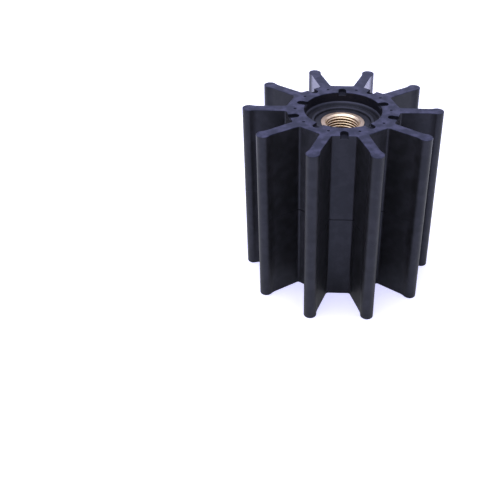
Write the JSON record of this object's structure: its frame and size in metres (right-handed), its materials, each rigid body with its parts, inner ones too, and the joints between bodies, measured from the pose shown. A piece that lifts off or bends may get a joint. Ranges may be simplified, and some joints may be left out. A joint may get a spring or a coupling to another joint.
{
  "type": "rubber pump impeller",
  "caption": "Flexible-blade rubber impeller with bulb-tipped blades, a stepped recess and a bonded brass hub sleeve with a puller thread and a keyed drive bore.",
  "frame": {"origin": "centre of the lower end face, on the shaft axis", "axes": "+Z along the shaft axis towards the puller thread; +X along one blade"},
  "size_m": [0.095, 0.0906, 0.09],
  "materials": {
    "rubber": "moulded, satin, slightly bluish-grey bloom on the end faces",
    "brass": "turned, bright"
  },
  "bodies": {
    "root": {"rubber_body": "rubber", "hub_insert": "brass"}
  },
  "joints": []
}
